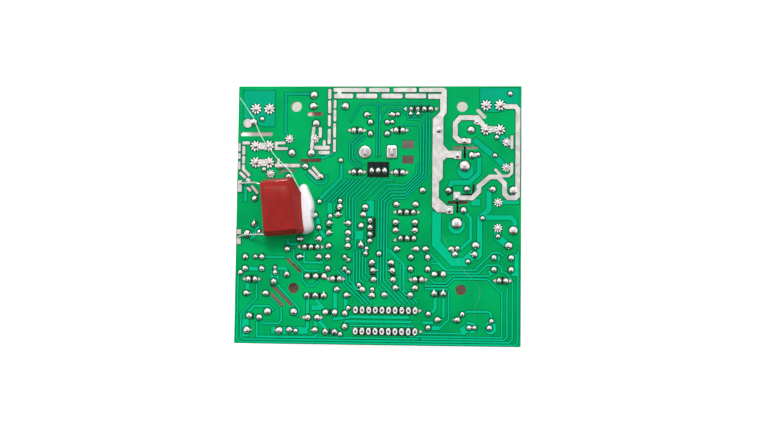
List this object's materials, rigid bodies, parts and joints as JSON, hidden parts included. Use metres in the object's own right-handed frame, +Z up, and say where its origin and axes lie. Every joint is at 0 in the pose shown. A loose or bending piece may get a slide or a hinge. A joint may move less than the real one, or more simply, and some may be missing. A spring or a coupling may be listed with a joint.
{
  "type": "blender control board",
  "caption": "Single-sided control board of a kitchen blender, shown solder side up, with a red film capacitor glued onto its solder side.",
  "frame": {"origin": "on the surface the board lies on, below the middle of its outline", "axes": "+Z up out of the solder side, +X along the longer side, +Y to the rear edge with the blade terminals"},
  "size_m": [0.11, 0.1, 0.0307],
  "materials": {
    "laminate": "satin",
    "masked_copper": "gloss",
    "solder": "satin",
    "black_ink": "matte",
    "red_coating": "gloss",
    "tinned_wire": "satin",
    "silicone": "satin",
    "glue": "gloss",
    "resistor_coat": "satin",
    "diode_body": "satin",
    "power_coat": "matte",
    "disc_coat": "satin",
    "can_sleeve": "gloss",
    "led_lens": "gloss",
    "black_plastic": "satin",
    "white_plastic": "satin",
    "steel": "satin",
    "brass": "satin",
    "shaft_metal": "satin",
    "relay_case": "gloss",
    "varistor_coat": "gloss",
    "film_box": "satin",
    "choke_winding": "satin",
    "sink_metal": "satin",
    "green_plastic": "satin"
  },
  "bodies": {
    "board": {"circuit_board": "laminate", "copper_tracks": "masked_copper", "tinned_tracks": "solder", "silkscreen_marks": "black_ink", "solder_joints": "solder", "star_joints": "solder", "test_points": "solder", "film_capacitor": "red_coating", "film_capacitor_leads": "tinned_wire", "silicone_adhesive": "silicone", "glue_strand": "glue", "resistors": "resistor_coat", "diodes": "diode_body", "jumper_wires": "tinned_wire", "power_resistors": "power_coat", "disc_capacitors": "disc_coat", "leds": "led_lens", "led_spacers": "white_plastic", "switch_covers": "steel", "switch_domes": "steel", "potentiometer_housing": "green_plastic", "relay": "relay_case", "varistor": "varistor_coat", "box_film_capacitor": "film_box", "mains_film_capacitor": "film_box", "choke_rear": "choke_winding", "choke_front": "choke_winding", "heatsink_rear": "sink_metal", "heatsink_front": "sink_metal", "triac_rear": "black_plastic", "triac_front": "black_plastic", "heatsink_screws": "steel", "controller_chip": "black_plastic", "wafer_socket_rear": "white_plastic", "wafer_socket_middle": "white_plastic", "transistors": "black_plastic", "buzzer": "black_plastic", "electrolytic_capacitor_1": "can_sleeve", "electrolytic_capacitor_2": "can_sleeve", "electrolytic_capacitor_3": "can_sleeve", "electrolytic_capacitor_4": "can_sleeve", "switch_base_1": "black_plastic", "tab_terminal_1": "brass", "switch_base_2": "black_plastic", "tab_terminal_2": "brass", "switch_base_3": "black_plastic", "tab_terminal_3": "brass", "switch_base_4": "black_plastic", "tab_terminal_4": "brass", "switch_base_5": "black_plastic", "tab_terminal_5": "brass"},
    "speed_shaft": {"potentiometer_shaft": "shaft_metal"},
    "plunger_1": {"switch_plunger_1": "white_plastic"},
    "plunger_2": {"switch_plunger_2": "white_plastic"},
    "plunger_3": {"switch_plunger_3": "white_plastic"},
    "plunger_4": {"switch_plunger_4": "white_plastic"},
    "plunger_5": {"switch_plunger_5": "white_plastic"}
  },
  "joints": [
    {"name": "speed_shaft_turn", "type": "hinge", "parent": "board", "child": "speed_shaft", "pos_m": [0, 0.0243, 0.005], "axis": [0, 0, 1], "range_deg": [-150, 150]},
    {"name": "plunger_1_press", "type": "slide", "parent": "board", "child": "plunger_1", "axis": [0, 0, 1], "range_m": [0, 0.00025], "stiffness_N_per_m": 2000},
    {"name": "plunger_2_press", "type": "slide", "parent": "board", "child": "plunger_2", "axis": [0, 0, 1], "range_m": [0, 0.00025], "stiffness_N_per_m": 2000},
    {"name": "plunger_3_press", "type": "slide", "parent": "board", "child": "plunger_3", "axis": [0, 0, 1], "range_m": [0, 0.00025], "stiffness_N_per_m": 2000},
    {"name": "plunger_4_press", "type": "slide", "parent": "board", "child": "plunger_4", "axis": [0, 0, 1], "range_m": [0, 0.00025], "stiffness_N_per_m": 2000},
    {"name": "plunger_5_press", "type": "slide", "parent": "board", "child": "plunger_5", "axis": [0, 0, 1], "range_m": [0, 0.00025], "stiffness_N_per_m": 2000}
  ]
}
